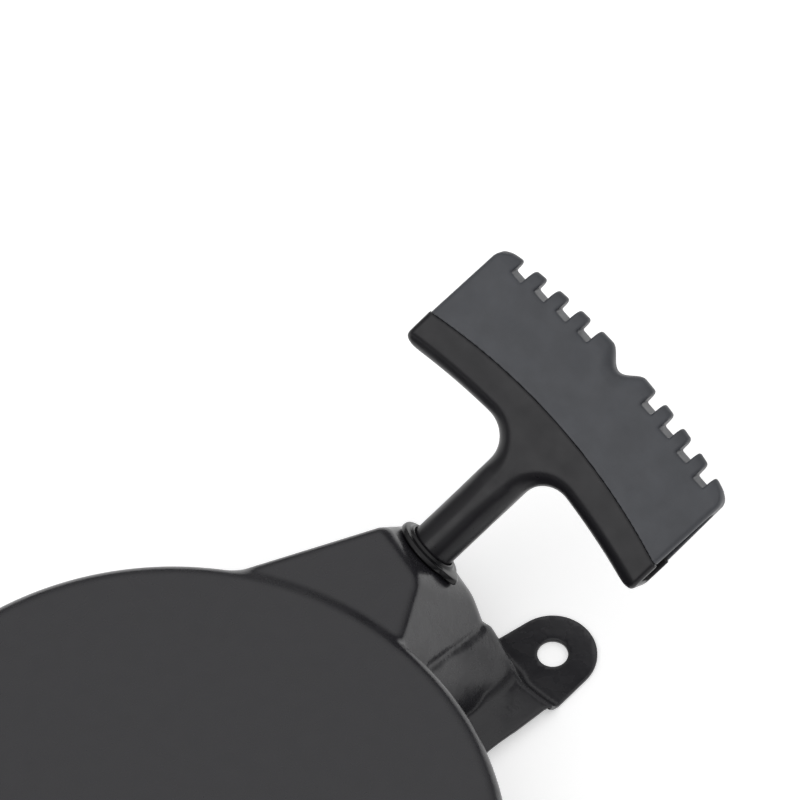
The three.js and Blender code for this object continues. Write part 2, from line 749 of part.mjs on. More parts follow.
function pawlSpring() {
  const radius = pawlPinRadius + gap + pawlSpringWire;
  const wireHalf = pawlSpringWire / 2;
  const bottom = pawlSpringTop - pawlSpringHeight + wireHalf;
  const coil = new Coil(radius, pawlSpringTurns, pawlSpringTop - wireHalf, bottom);
  return tube(coil, pawlSpringWire, 14 * pawlSpringTurns, 6);
}

function brakeSpring() {
  const radius = postRadius + 2 * gap + brakeWire;
  const top = thrustWasherTop - washerThickness - gap - brakeWire / 2;
  const bottom = retainerTop + gap + brakeWire / 2;
  return tube(new Coil(radius, brakeTurns, top, bottom), brakeWire, 18 * brakeTurns, 6);
}

function pegPathPoint(share) {
  // The drive peg's centre as the retainer sees it, part of the way through the pawl's swing.
  const swing = rad(pawlSwing * share);
  const turn = -rad(retainerTurn * share);
  const peg = new THREE.Vector2(...pawlPegOffset).rotateAround(new THREE.Vector2(), swing);
  peg.x += pawlPitchRadius;
  return peg.rotateAround(new THREE.Vector2(), turn);
}

function retainerPlate() {
  const slotHalf = pawlPegRadius + 2 * gap;
  const steps = 10;
  const overrun = 0.04;
  const sides = [[], []];
  for (let i = 0; i <= steps; i += 1) {
    const share = -overrun + (1 + 2 * overrun) * (i / steps);
    const here = pegPathPoint(share);
    const along = pegPathPoint(share + 0.01).sub(pegPathPoint(share - 0.01)).normalize();
    const across = new THREE.Vector2(-along.y, along.x).multiplyScalar(slotHalf);
    sides[0].push(here.clone().add(across));
    sides[1].unshift(here.clone().sub(across));
  }
  function cap(share, forward) {
    const here = pegPathPoint(share);
    const along = pegPathPoint(share + 0.01).sub(pegPathPoint(share - 0.01));
    const start = Math.atan2(along.y, along.x) + (forward ? Math.PI / 2 : -Math.PI / 2);
    return [1, 2, 3, 4, 5].map((k) => {
      const angle = start - (Math.PI * k) / 6;
      return here.clone().add(new THREE.Vector2(Math.cos(angle), Math.sin(angle)).multiplyScalar(slotHalf));
    });
  }
  const corners = [...sides[0], ...cap(1 + overrun, true), ...sides[1], ...cap(-overrun, false)];
  const slot = plate(new THREE.Shape(corners), retainerBottom - 1, retainerTop + 1);
  const rim = retainerRadius;
  const body = ring(postRadius + gap, rim, retainerBottom, retainerTop, 44);
  return cut(body, slot, slot.clone().rotateZ(Math.PI));
}

function centrePost() {
  const threadRadius = screwRadius + gap;
  const threadTop = postBottom + 14;
  return lathe([
    [0, threadTop],
    [threadRadius, threadTop],
    [threadRadius, postBottom],
    [postRadius, postBottom],
    [postRadius, postTop - postFlangeThickness],
    [postFlangeRadius, postTop - postFlangeThickness],
    [postFlangeRadius, postTop],
    [0, postTop],
  ]);
}

function centreScrew() {
  const head = disc(screwHeadRadius, screwHeadTop - screwHeadHeight, screwHeadTop, 6);
  const shank = disc(screwRadius, screwHeadTop - 1, postBottom + 12, 18);
  return geometryOf(solidOf(head).add(solidOf(shank)));
}

// ---------------------------------------------------------------- materials
function finish(color, roughness, metalness) {
  return new THREE.MeshStandardMaterial({ color, roughness, metalness });
}

const coatedSteel = finish(0x434247, 0.45, 0.2);
const blackPlastic = finish(0x37363b, 0.5, 0);
const gripPlastic = finish(0x4a4b50, 0.7, 0);
const eyeletPlastic = finish(0x1c1c1f, 0.35, 0);
const ropeNylon = finish(0x6f6f6a, 0.9, 0);
const pulleyNylon = finish(0x2a2a2c, 0.55, 0);
const zincSteel = finish(0xa9a9a4, 0.35, 0.9);
const springSteel = finish(0x5c5f66, 0.3, 0.9);
const bronze = finish(0x9a7440, 0.4, 0.8);

// ---------------------------------------------------------------- assembly
const starter = new THREE.Group();

function place(parent, name, geometry, material) {
  const mesh = new THREE.Mesh(weld(geometry), material.clone());
  mesh.name = name;
  parent.add(mesh);
  return mesh;
}

function framedGroup(matrix) {
  const group = new THREE.Group();
  group.applyMatrix4(matrix);
  starter.add(group);
  return group;
}

place(starter, 'cover_shell', coverShell(), coatedSteel);
place(starter, 'centre_post', centrePost(), zincSteel);
place(starter, 'spring_case', springCase(), zincSteel);
place(starter, 'rewind_spring', rewindSpring(), springSteel);
place(starter, 'rope_run', ropeRun(), ropeNylon);
const screwWasher = ring(screwRadius + gap, screwWasherRadius, screwWasherTop - washerThickness, screwWasherTop);
place(starter, 'screw_washer', screwWasher, zincSteel);
place(starter, 'centre_screw', centreScrew(), zincSteel);

const eyeletGroup = framedGroup(exitPlacement(exitSeat, 0));
place(eyeletGroup, 'rope_eyelet', eyeletBush(), eyeletPlastic);
place(eyeletGroup, 'rope_lead', ropeLead(), ropeNylon);

const handleGroup = framedGroup(exitPlacement(eyeletFace, handleTwist));
place(handleGroup, 'handle_body', handleBody(), blackPlastic);
place(handleGroup, 'handle_grip', gripCover(), gripPlastic);
const knotWasherRadius = barHalfThickness - barWall - gap;
const knotWasherBottom = knotWasherTop - washerThickness;
const knotWasher = ring(ropeDiameter / 2 + gap, knotWasherRadius, knotWasherBottom, knotWasherTop, 24);
place(handleGroup, 'knot_washer', knotWasher, zincSteel);
const endKnot = knot(barHalfThickness - barWall - 3 * gap, endKnotHeight);
place(handleGroup, 'rope_end_knot', endKnot, ropeNylon).position.z = knotWasherTop + gap + endKnotHeight / 2;

const bushTop = caseFloor - gap;
place(starter, 'rope_pulley', ropePulley(), pulleyNylon);
place(starter, 'pulley_bush', ring(bushInner, bushOuter, hubBottom, bushTop), bronze);
const winding = ring(grooveRadius + gap, windingOuter, grooveBottom + gap, grooveTop - gap, 48);
place(starter, 'rope_winding', winding, ropeNylon);
const anchorKnot = knot(ropeDiameter * 0.8, 2 * (grooveMiddle - webTop - gap));
const anchorReach = grooveRadius - rimWall - gap - ropeDiameter * 0.8;
place(starter, 'rope_anchor_knot', anchorKnot, ropeNylon).position.set(anchorReach, 0, grooveMiddle);
const thrustWasher = ring(bushInner, thrustWasherRadius, thrustWasherTop - washerThickness, thrustWasherTop);
place(starter, 'thrust_washer', thrustWasher, zincSteel);
place(starter, 'brake_spring', brakeSpring(), springSteel);
place(starter, 'pawl_retainer', retainerPlate(), zincSteel);

for (const number of [1, 2]) {
  const side = new THREE.Group();
  side.rotation.z = Math.PI * (number - 1);
  starter.add(side);
  const pieces = {
    pawl: [pawl(), zincSteel],
    pawl_pin: [pawlPin(), zincSteel],
    pawl_spring: [pawlSpring(), springSteel],
  };
  for (const [name, [geometry, material]] of Object.entries(pieces)) {
    place(side, `${name}_${number}`, geometry, material).position.x = pawlPitchRadius;
  }
}

export default starter;
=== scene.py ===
import json
import math

import bpy
import numpy as np
from mathutils import Matrix, Vector


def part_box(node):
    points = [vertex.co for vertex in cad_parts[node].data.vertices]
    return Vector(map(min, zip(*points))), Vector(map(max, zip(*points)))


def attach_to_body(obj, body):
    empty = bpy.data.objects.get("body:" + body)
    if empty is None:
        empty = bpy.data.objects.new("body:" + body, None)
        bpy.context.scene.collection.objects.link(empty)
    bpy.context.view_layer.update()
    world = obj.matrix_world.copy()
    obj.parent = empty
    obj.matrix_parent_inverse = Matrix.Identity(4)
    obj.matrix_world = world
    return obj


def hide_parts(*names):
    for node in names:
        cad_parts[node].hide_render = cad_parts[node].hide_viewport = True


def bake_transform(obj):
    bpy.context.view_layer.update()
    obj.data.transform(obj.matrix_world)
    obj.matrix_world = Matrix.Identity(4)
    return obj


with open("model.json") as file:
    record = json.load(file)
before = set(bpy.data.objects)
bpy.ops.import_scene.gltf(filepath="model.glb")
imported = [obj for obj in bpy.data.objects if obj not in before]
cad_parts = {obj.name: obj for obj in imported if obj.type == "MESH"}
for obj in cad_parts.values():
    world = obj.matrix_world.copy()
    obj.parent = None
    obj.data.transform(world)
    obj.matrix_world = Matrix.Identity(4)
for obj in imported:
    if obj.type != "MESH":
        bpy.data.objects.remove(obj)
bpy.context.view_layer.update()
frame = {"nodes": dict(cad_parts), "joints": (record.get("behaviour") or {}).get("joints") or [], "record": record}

MM = 0.001

# ---------------------------------------------------------------- sizes
CLEARANCE = 0.3
SHEET = 1.5
SHEET_EDGE = 0.45  # rounding of the cover's cut edges

DRUM_RADIUS = 91.5
DRUM_BASE = 94.0
SHOULDER = 5.3
LIP = 2.5
LEG_LEVEL = -45.5
EAR_LEVEL = -48.5
WALL_BOTTOM = LEG_LEVEL - SHEET
FLOOR_LEVEL = EAR_LEVEL - SHEET - 0.05
FOOT_FILLET = 1.6

HOLE_CIRCLE = 138.0
HOLE_RADIUS = 4.25
FIRST_EAR = 41.2
EAR_RADIUS = 12.3
EAR_ROOT = 14.0
EAR_FILLET = 0.8
LEG_HALF_WIDTH = 13.2
LEG_FILLET = 8.0
STEP_REACH = HOLE_CIRCLE - 11.6
STEP_LENGTH = 3.2
STEP_BOW = 1.4
STEP_FADE = 4.0  # beside an ear, the step's level returns to the legs' over this width

# A face of the turret or the gusset looks towards an azimuth and an elevation.
TURRET_LEVEL = -2.0
TURRET_ROUND = 2.3
TURRET_PLAN_FILLET = 3.0
TURRET_WALL = (110, 24)
TURRET_WALL_INSET = 13.9
TURRET_HEEL = (145, 24)
TURRET_FLANK = (-14.6, 27.1)
TURRET_FLANK_INSET = 48.8
TURRET_FOOT = (-28, 10.5)
TURRET_FOOT_INSET = 20
TURRET_FOOT_LEVEL = -18.7
TURRET_SIDE = (FIRST_EAR - 90, 12)
TURRET_SIDE_REACH = 2
TURRET_BACKS = (235, 290)
EXIT_WALL_DRAFT = 2
FACET_REACH = 13.7  # from the eyelet's seat down to the lower edge of its facet

GUSSET_ROUND = 2.0
GUSSET_SWEEP = 4.0
GUSSET_SEAM = 1.0
GUSSET_SIDE = (FIRST_EAR - 90, 20)
GUSSET_SIDE_REACH = 1.5
RAMP_TURN = 46.7
RAMP_ELEVATION = 40.6

# Along the first ear, across it, and height.
CREASE_START = (98.0, 4.2, -18.3)
CREASE_END = (122.3, 11.2, -32.3)
CREASE_RADIUS = 1.7
CREASE_FADE = 0.6
CREASE_EDGE = 0.8

ROPE = 4.8
GROOVE_RADIUS = 50.0
GROOVE_MIDDLE = -24.6
ROPE_LAYERS = 2
TURNS_PER_LAYER = 2
ROPE_BEND = 14

# Heights in the handle count from the eyelet's face, and its seams and edges are shallow arcs.
NECK = 6.7
NECK_BORE = 3.2
NECK_DEPTH = 4.0
NECK_END_EDGE = 0.7
HANDLE_TWIST = 21.1
BAR_HALF_LENGTH = 46.9
BAR_TOP = 76.6
BAR_TOP_ARC = 218.0
BAR_BOTTOM = 38.6
BAR_BOTTOM_ARC = 200.0
BAR_CORNER = 3.8
BAR_HALF_DEPTH = 7.4
BAR_WALL = 2.3
TAPER_ABOVE_SEAM = 0.168
TAPER_BELOW_SEAM = 0.045
NECK_HALF_DEPTH = {0: NECK, 24: NECK, 38: 5.5, 46: 0}  # least half depth by height
LONG_EDGE = {16: NECK, 36: 5.2, 50: 4.4, 54: 3.0, 70: 3.2, 76: 3.1}  # rounding of the long edges by height
END_EDGE = 1.5
END_ZONE = 8  # the sill rises from this far before the end, up to END_LAND before it
END_LAND = 2
NECK_TOP = 20  # up to here the handle is a plain round neck
FLARE = 9.5
CAVITY_ROUND = 2.0
CAVITY_SIDE_ROUND = 1.0
CAVITY_EDGE = 0.4
SILL_RISE = 2.2
BORE_EDGE = 0.3
PAD_INSET = 0.4
SEAM = 51.4
SEAM_ARC = 178.0
SEAM_GAP = 0.1
SEAM_EDGE = 0.2
NOTCHES = 4
NOTCH_WIDTH = 4.0
NOTCH_DEPTH = 4.5
NOTCH_PITCH = 8.1
NOTCH_ROOT = 0.5
NOTCH_EDGE = 0.9
FIRST_NOTCH = 13.3
SCALLOP_HALF = 7.0
SCALLOP_DEPTH = 4.6

EYELET_THROAT = ROPE / 2 + 1
EYELET_WALL = 0.9
EYELET_BARREL = NECK + CLEARANCE + EYELET_WALL
EYELET_HOLE = EYELET_BARREL + CLEARANCE
EYELET_ROUND = 0.55
EYELET_LIP = 0.8  # rise of the lip round the neck above the flange
EYELET_TAIL = 4.7
FLANGE_RADIUS = EYELET_HOLE + 1.9
FLANGE_THICKNESS = 2.5
INNER_FLANGE_RADIUS = EYELET_HOLE + 0.7
INNER_FLANGE = 1.8
TONGUE_AZIMUTH = 8
TONGUE_SPREAD = 27
TONGUE_REACH = 0.24  # as a share of the flange's radius


# ---------------------------------------------------------------- places from the frame
def direction(azimuth, elevation):
    a, e = math.radians(azimuth), math.radians(elevation)
    return np.array([math.cos(e) * math.cos(a), math.cos(e) * math.sin(a), math.sin(e)])


def unit(vectors):
    return vectors / np.linalg.norm(vectors, axis=-1, keepdims=True)


def node_box(node):
    return [np.array(corner / MM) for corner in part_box(node)]


joints = {j["name"]: j for j in frame["joints"]}
exit_axis = np.array(joints["handle_pull"]["axis"])
exit_seat = np.array(joints["handle_swivel"]["pos_m"]) / MM
exit_azimuth = math.degrees(math.atan2(exit_axis[1], exit_axis[0]))
exit_level = direction(exit_azimuth - 90, 0)
exit_downhill = direction(exit_azimuth, -90 + math.degrees(math.asin(exit_axis[2])))
eyelet_face = exit_seat + (CLEARANCE + FLANGE_THICKNESS) * exit_axis


def exit_placement(origin, twist):
    """Matrix in metres: local +Z runs out along the rope, local +X is level before the twist."""
    t = math.radians(twist)
    across = np.cross(exit_axis, exit_level)
    along = math.cos(t) * exit_level + math.sin(t) * across
    across = np.cross(exit_axis, along)
    matrix = Matrix.Identity(4)
    for row in range(3):
        matrix[row][:] = [along[row] * MM, across[row] * MM, exit_axis[row] * MM, origin[row] * MM]
    return matrix


# ---------------------------------------------------------------- camera, light and floor
CAMERA_ELEVATION = 58
CAMERA_AIM = Vector((0.0619, 0.1425, 0))
VIEW_WIDTH = 0.2192
SENSOR = 36
LENS = 1000
SOFTBOX_PLACE = (-1.0, -0.9, 1.0)
SOFTBOX_AIM = (0.05, 0.08, 0)
SOFTBOX_SIDE = 1.0
SOFTBOX_POWER = 5
SKY_HEIGHTS = (0.1, 0.75)
SKY_STRENGTHS = (0.07, 1.0)
FLOOR_HALF = 6.0
PAPER = (0.92, 0.92, 0.92, 1)
PAPER_GLOW = 0.4
WHITE = (1, 1, 1, 1)


def look(location, aim):
    return (Vector(aim) - Vector(location)).to_track_quat("-Z", "Y").to_euler()


def add_camera():
    """Seen from the south, through a very long lens; camera and lamp places are in metres."""
    elevation = math.radians(CAMERA_ELEVATION)
    back = Vector((0, -math.cos(elevation), math.sin(elevation)))
    camera = bpy.data.objects.new("camera", bpy.data.cameras.new("camera"))
    camera.data.lens = LENS
    camera.data.sensor_width = SENSOR
    camera.data.clip_end = 100
    camera.location = CAMERA_AIM + back * (VIEW_WIDTH * LENS / SENSOR)
    camera.rotation_euler = look(camera.location, CAMERA_AIM)
    bpy.context.scene.collection.objects.link(camera)
    bpy.context.scene.camera = camera


def add_softbox():
    light = bpy.data.lights.new("left_softbox", "AREA")
    light.shape = "RECTANGLE"
    light.size = SOFTBOX_SIDE
    light.size_y = SOFTBOX_SIDE
    light.energy = SOFTBOX_POWER
    lamp = bpy.data.objects.new("left_softbox", light)
    lamp.location = SOFTBOX_PLACE
    lamp.rotation_euler = look(SOFTBOX_PLACE, SOFTBOX_AIM)
    bpy.context.scene.collection.objects.link(lamp)


def add_sky():
    """White overhead and dark at the horizon."""
    world = bpy.data.worlds.new("studio")
    world.use_nodes = True
    tree = world.node_tree
    backdrop = tree.nodes["Background"]
    backdrop.inputs["Color"].default_value = WHITE
    heading = tree.nodes.new("ShaderNodeTexCoord")
    height = tree.nodes.new("ShaderNodeSeparateXYZ")
    brightness = tree.nodes.new("ShaderNodeMapRange")
    sockets = zip(("From Min", "From Max", "To Min", "To Max"), SKY_HEIGHTS + SKY_STRENGTHS)
    for socket, value in sockets:
        brightness.inputs[socket].default_value = value
    tree.links.new(heading.outputs["Generated"], height.inputs[0])
    tree.links.new(height.outputs["Z"], brightness.inputs["Value"])
    tree.links.new(brightness.outputs[0], backdrop.inputs["Strength"])
    bpy.context.scene.world = world
    bpy.context.scene.view_settings.view_transform = "Standard"


def add_floor():
    level = FLOOR_LEVEL * MM
    signs = ((-1, -1), (1, -1), (1, 1), (-1, 1))
    data = bpy.data.meshes.new("floor")
    data.from_pydata([(FLOOR_HALF * a, FLOOR_HALF * b, level) for a, b in signs], [], [(0, 1, 2, 3)])
    floor = bpy.data.objects.new("floor", data)
    bpy.context.scene.collection.objects.link(floor)
    paper = bpy.data.materials.new("paper")
    paper.use_nodes = True
    shader = paper.node_tree.nodes["Principled BSDF"]
    shader.inputs["Base Color"].default_value = PAPER
    shader.inputs["Roughness"].default_value = 0.8
    shader.inputs["Emission Color"].default_value = WHITE
    shader.inputs["Emission Strength"].default_value = PAPER_GLOW
    data.materials.append(paper)


# ---------------------------------------------------------------- materials
class Surface:
    """Builds one procedural material; lengths of its patterns are in millimetres."""

    def __init__(self, name, colour, roughness, metallic=0.0, specular=0.5):
        self.material = bpy.data.materials.new(name)
        self.material.use_nodes = True
        self.tree = self.material.node_tree
        self.shader = self.tree.nodes["Principled BSDF"]
        self.shader.inputs["Metallic"].default_value = metallic
        self.shader.inputs["Specular IOR Level"].default_value = specular
        self.place = self.node("ShaderNodeTexCoord").outputs["Object"]
        self.colour = colour
        self.roughness = roughness
        self.height = None
        self.tint = None

    def node(self, kind, inputs=None, **settings):
        made = self.tree.nodes.new(kind)
        for key, value in settings.items():
            setattr(made, key, value)
        for key, value in (inputs or {}).items():
            if isinstance(value, bpy.types.NodeSocket):
                self.tree.links.new(value, made.inputs[key])
            else:
                made.inputs[key].default_value = value
        return made

    def noise(self, size, detail=3.0, stretch=(1, 1, 1)):
        """Values round 0.5 that change over the given length."""
        scale = tuple(k / (size * MM) for k in stretch)
        mapping = self.node("ShaderNodeMapping", {"Vector": self.place, "Scale": scale})
        made = self.node("ShaderNodeTexNoise", {"Vector": mapping.outputs[0], "Scale": 1.0, "Detail": detail})
        return made.outputs["Fac"]

    def remap(self, value, low, high, start, end):
        sockets = {"Value": value, "From Min": low, "From Max": high, "To Min": start, "To Max": end}
        return self.node("ShaderNodeMapRange", sockets).outputs[0]

    def mottle(self, size, amount):
        """Lightens and darkens the base colour in patches."""
        share = self.remap(self.noise(size), 0.3, 0.7, 0.0, 1.0)
        dark = [c * (1 - amount) for c in self.colour] + [1]
        light = [min(1, c * (1 + amount)) for c in self.colour] + [1]
        self.tint = self.mix(share, dark, light)
        return self

    def mix(self, share, first, second):
        made = self.node("ShaderNodeMix", data_type="RGBA")
        for socket, value in ((made.inputs[0], share), (made.inputs[6], first), (made.inputs[7], second)):
            if isinstance(value, bpy.types.NodeSocket):
                self.tree.links.new(value, socket)
            else:
                socket.default_value = value
        return made.outputs[2]

    def wear(self, colour, amount, patch=3.0):
        """Lets the given colour through on raised edges, broken up by noise."""
        raised = self.node("ShaderNodeNewGeometry").outputs["Pointiness"]
        edge = self.remap(raised, 0.515, 0.57, 0.0, amount)
        broken = self.remap(self.noise(patch), 0.35, 0.65, 0.35, 1.0)
        share = self.node("ShaderNodeMath", {0: edge, 1: broken}, operation="MULTIPLY").outputs[0]
        self.tint = self.mix(share, self.tint, [*colour, 1])
        return self

    def relief(self, size, depth, detail=3.0, stretch=(1, 1, 1)):
        """Adds a bump of the given wavelength and depth."""
        sockets = {"Height": self.noise(size, detail, stretch), "Strength": 1.0, "Distance": depth * MM}
        if self.height:
            sockets["Normal"] = self.height
        self.height = self.node("ShaderNodeBump", sockets).outputs["Normal"]
        return self

    def done(self, spread, patch=6.0):
        """Roughness varies by spread in patches; the sockets are joined to the shader."""
        low, high = self.roughness - spread, self.roughness + spread
        rough = self.remap(self.noise(patch), 0.3, 0.7, low, high)
        self.tree.links.new(rough, self.shader.inputs["Roughness"])
        self.tree.links.new(self.tint, self.shader.inputs["Base Color"])
        if self.height:
            self.tree.links.new(self.height, self.shader.inputs["Normal"])
        return self.material


def make_materials():
    coat = Surface("coated_steel", (0.015, 0.0145, 0.0175), 0.27)
    coat.mottle(5, 0.05).wear((0.05, 0.05, 0.055), 0.35).relief(2.6, 0.05, 2).relief(0.9, 0.012, 2)
    plastic = Surface("handle_plastic", (0.010, 0.0095, 0.0115), 0.32, specular=0.30)
    plastic.mottle(9, 0.10).wear((0.05, 0.05, 0.052), 0.3).relief(0.5, 0.006, 3)
    pad = Surface("grip_plastic", (0.048, 0.051, 0.059), 0.45)
    pad.mottle(7, 0.12).wear((0.07, 0.07, 0.075), 0.3).relief(0.45, 0.014, 3).relief(3.0, 0.03, 2)
    bush = Surface("eyelet_plastic", (0.007, 0.007, 0.008), 0.22, specular=0.3)
    bush.mottle(5, 0.15).wear((0.05, 0.05, 0.05), 0.3).relief(1.2, 0.006, 2)
    nylon = Surface("pulley_nylon", (0.022, 0.022, 0.024), 0.45)
    nylon.mottle(8, 0.2).wear((0.09, 0.09, 0.09), 0.35).relief(0.7, 0.02, 4)
    rope = Surface("rope_nylon", (0.42, 0.41, 0.37), 0.75)
    rope.mottle(2.2, 0.25).wear((0.7, 0.68, 0.62), 0.3).relief(0.35, 0.08)
    zinc = Surface("zinc_steel", (0.55, 0.56, 0.55), 0.30, 1.0)
    zinc.mottle(4, 0.12).wear((0.8, 0.8, 0.78), 0.4).relief(0.6, 0.006, 4)
    spring = Surface("spring_steel", (0.14, 0.15, 0.18), 0.28, 1.0)
    spring.mottle(5, 0.25).wear((0.4, 0.42, 0.45), 0.4).relief(0.4, 0.004, 3, (1, 1, 0.2))
    bronze = Surface("bronze", (0.50, 0.30, 0.12), 0.38, 1.0)
    bronze.mottle(1.0, 0.2).wear((0.75, 0.5, 0.25), 0.4).relief(0.3, 0.01, 4)
    return {
        "coated_steel": coat.done(0.05),
        "handle_plastic": plastic.done(0.05),
        "grip_plastic": pad.done(0.06),
        "eyelet_plastic": bush.done(0.05),
        "pulley_nylon": nylon.done(0.08),
        "rope_nylon": rope.done(0.08, 2.0),
        "zinc_steel": zinc.done(0.09, 3.0),
        "spring_steel": spring.done(0.08, 3.0),
        "bronze": bronze.done(0.1, 1.5),
    }


# ---------------------------------------------------------------- distance fields and their meshes
def round_max(a, b, radius):
    """Intersection of two fields, with the shared edge rounded."""
    corner = np.hypot(np.maximum(a + radius, 0), np.maximum(b + radius, 0))
    return np.minimum(-radius, np.maximum(a, b)) + corner


def round_min(a, b, radius):
    """Union of two fields, with a fillet of that radius between them."""
    return -round_max(-a, -b, radius)


def gradient(field, points, reach=0.05):
    found = np.empty_like(points)
    for axis in range(3):
        shift = np.zeros(3)
        shift[axis] = reach
        found[:, axis] = (field(*(points + shift).T) - field(*(points - shift).T)) / (2 * reach)
    return found


def settle(field, points, rounds=4):
    """Moves points onto the field's zero surface."""
    for _ in range(rounds):
        slope = gradient(field, points)
        size = np.maximum((slope**2).sum(1), 1e-6)
        points = points - slope * (field(*points.T) / size)[:, None]
    return points


def surface_net(field, low, high, step):
    """Vertices and outward quads of the field's zero surface, one vertex in each crossed cell."""
    axes = [np.arange(a, b + step, step) for a, b in zip(low, high)]
    value = field(*np.meshgrid(*axes, indexing="ij"))
    cells = tuple(n - 1 for n in value.shape)
    total = np.zeros(cells + (3,))
    count = np.zeros(cells)
    sides = []
    for axis in range(3):
        first = value.take(range(value.shape[axis] - 1), axis)
        second = value.take(range(1, value.shape[axis]), axis)
        at = np.argwhere((first < 0) != (second < 0))
        a, b = (axis + 1) % 3, (axis + 2) % 3
        inner = (at[:, a] > 0) & (at[:, b] > 0) & (at[:, a] < cells[a]) & (at[:, b] < cells[b])
        at = at[inner]
        start, end = first[tuple(at.T)], second[tuple(at.T)]
        point = at.astype(float)
        point[:, axis] += start / (start - end)
        corners = []
        for back_a, back_b in ((1, 1), (0, 1), (0, 0), (1, 0)):
            cell = at.copy()
            cell[:, a] -= back_a
            cell[:, b] -= back_b
            np.add.at(total, tuple(cell.T), point)
            np.add.at(count, tuple(cell.T), 1)
            corners.append(cell)
        sides.append((corners, start < 0))
    used = np.argwhere(count > 0)
    number = np.full(cells, -1)
    number[tuple(used.T)] = np.arange(len(used))
    points = np.array(low) + step * total[tuple(used.T)] / count[tuple(used.T)][:, None]
    quads = []
    for corners, outward in sides:
        quad = np.stack([number[tuple(cell.T)] for cell in corners], 1)
        quads.append(np.where(outward[:, None], quad, quad[:, ::-1]))
    return settle(field, points), np.concatenate(quads)


def new_piece(name, points, faces, material, matrix=None):
    data = bpy.data.meshes.new(name)
    data.from_pydata(points.tolist(), [], [list(map(int, f)) for f in faces])
    data.transform(matrix or Matrix.Scale(MM, 4))
    data.polygons.foreach_set("use_smooth", [True] * len(data.polygons))
    data.materials.append(material)
    data.update()
    piece = bpy.data.objects.new(name, data)
    bpy.context.scene.collection.objects.link(piece)
    return piece


def attach(piece, body, node):
    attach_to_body(piece, body)
    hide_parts(node)


# ---------------------------------------------------------------- pressed cover
def plane_through(azimuth, elevation, distance, height=0):
    """Outward normal and offset of a plane that meets the level of height at a distance from the axis."""
    normal = direction(azimuth, elevation)
    point = direction(azimuth, 0) * distance
    point[2] = height
    return normal, normal @ point


def all_behind(planes, radius, x, y, z):
    """Field of the body behind all planes, its edges rounded."""
    found = None
    for normal, distance in planes:
        side = normal[0] * x + normal[1] * y + normal[2] * z - distance
        found = side if found is None else round_max(found, side, radius)
    return found


facet_edge = exit_seat + FACET_REACH * exit_downhill
exit_wall = direction(exit_azimuth, EXIT_WALL_DRAFT)
turret_planes = [
    (direction(0, 90), TURRET_LEVEL),
    plane_through(*TURRET_WALL, DRUM_RADIUS - TURRET_WALL_INSET, TURRET_LEVEL),
    plane_through(*TURRET_HEEL, DRUM_BASE, WALL_BOTTOM),
    plane_through(*TURRET_FLANK, DRUM_RADIUS - TURRET_FLANK_INSET, TURRET_LEVEL),
    plane_through(*TURRET_FOOT, DRUM_RADIUS - TURRET_FOOT_INSET, TURRET_FOOT_LEVEL),
    plane_through(*TURRET_SIDE, TURRET_SIDE_REACH, LEG_LEVEL),
    (exit_axis, exit_axis @ exit_seat),
    (exit_wall, exit_wall @ facet_edge),
    *(plane_through(azimuth, 0, 0) for azimuth in TURRET_BACKS),
]
gusset_side = plane_through(*GUSSET_SIDE, GUSSET_SIDE_REACH, LEG_LEVEL)
ramp_reach = STEP_REACH * math.cos(math.radians(RAMP_TURN))
gusset_ends = [
    plane_through(FIRST_EAR - RAMP_TURN, RAMP_ELEVATION, ramp_reach, LEG_LEVEL),
    plane_through(FIRST_EAR, 0, STEP_REACH),
    plane_through(FIRST_EAR + 90, 0, LEG_HALF_WIDTH),
    plane_through(FIRST_EAR + 180, 0, 2 * LEG_FILLET - DRUM_RADIUS),
]


def drum(x, y, z):
    draft = (DRUM_BASE - DRUM_RADIUS) / (-WALL_BOTTOM - SHOULDER)
    side = np.hypot(x, y) - DRUM_RADIUS - draft * (-z - SHOULDER)
    return round_max(side / math.hypot(1, draft), z, SHOULDER)


def turret(x, y, z):
    return all_behind(turret_planes, TURRET_ROUND, x, y, z)


def ear_axes(x, y):
    """Distance along the first ear's direction, and distance across it."""
    turn = math.radians(FIRST_EAR)
    return math.cos(turn) * x + math.sin(turn) * y, math.cos(turn) * y - math.sin(turn) * x


def along_ear(x, y):
    """Distance out along the nearest ear's middle line, and distance from that line."""
    along, across = ear_axes(x, y)
    return np.maximum(np.abs(along), np.abs(across)), np.minimum(np.abs(along), np.abs(across))


def ground(x, y, z):
    """The level of the legs, stepping down to the ears."""
    out, side = along_ear(x, y)
    bow = STEP_BOW * np.clip(1 - (side / LEG_HALF_WIDTH) ** 2, 0, 1)
    share = np.clip((out - STEP_REACH + bow) / STEP_LENGTH + 0.5, 0, 1)
    share = share * np.interp(side, [EAR_ROOT, EAR_ROOT + STEP_FADE], [1, 0])
    drop = LEG_LEVEL - EAR_LEVEL
    slope = drop * math.pi / 2 / STEP_LENGTH * np.sin(math.pi * share)
    return (z - LEG_LEVEL + drop * 0.5 * (1 - np.cos(math.pi * share))) / np.hypot(1, slope)


def gusset(x, y, z):
    """Ramp on the first leg, running out into the leg in a broad sweep."""
    side = round_min(all_behind([gusset_side], 0, x, y, z), ground(x, y, z), GUSSET_SWEEP)
    return round_max(side, all_behind(gusset_ends, GUSSET_ROUND, x, y, z), GUSSET_SWEEP)


def crease(x, y, z):
    """Wrinkle of the sheet between the turret's flank and the gusset, fading towards the ear."""
    offset = [value - first for value, first in zip((*ear_axes(x, y), z), CREASE_START)]
    run = [last - first for first, last in zip(CREASE_START, CREASE_END)]
    share = sum(a * b for a, b in zip(offset, run)) / sum(b**2 for b in run)
    share = np.clip(share, 0, 1)
    apart = np.sqrt(sum((a - share * b) ** 2 for a, b in zip(offset, run)))
    return apart - CREASE_RADIUS * (1 - CREASE_FADE * share)


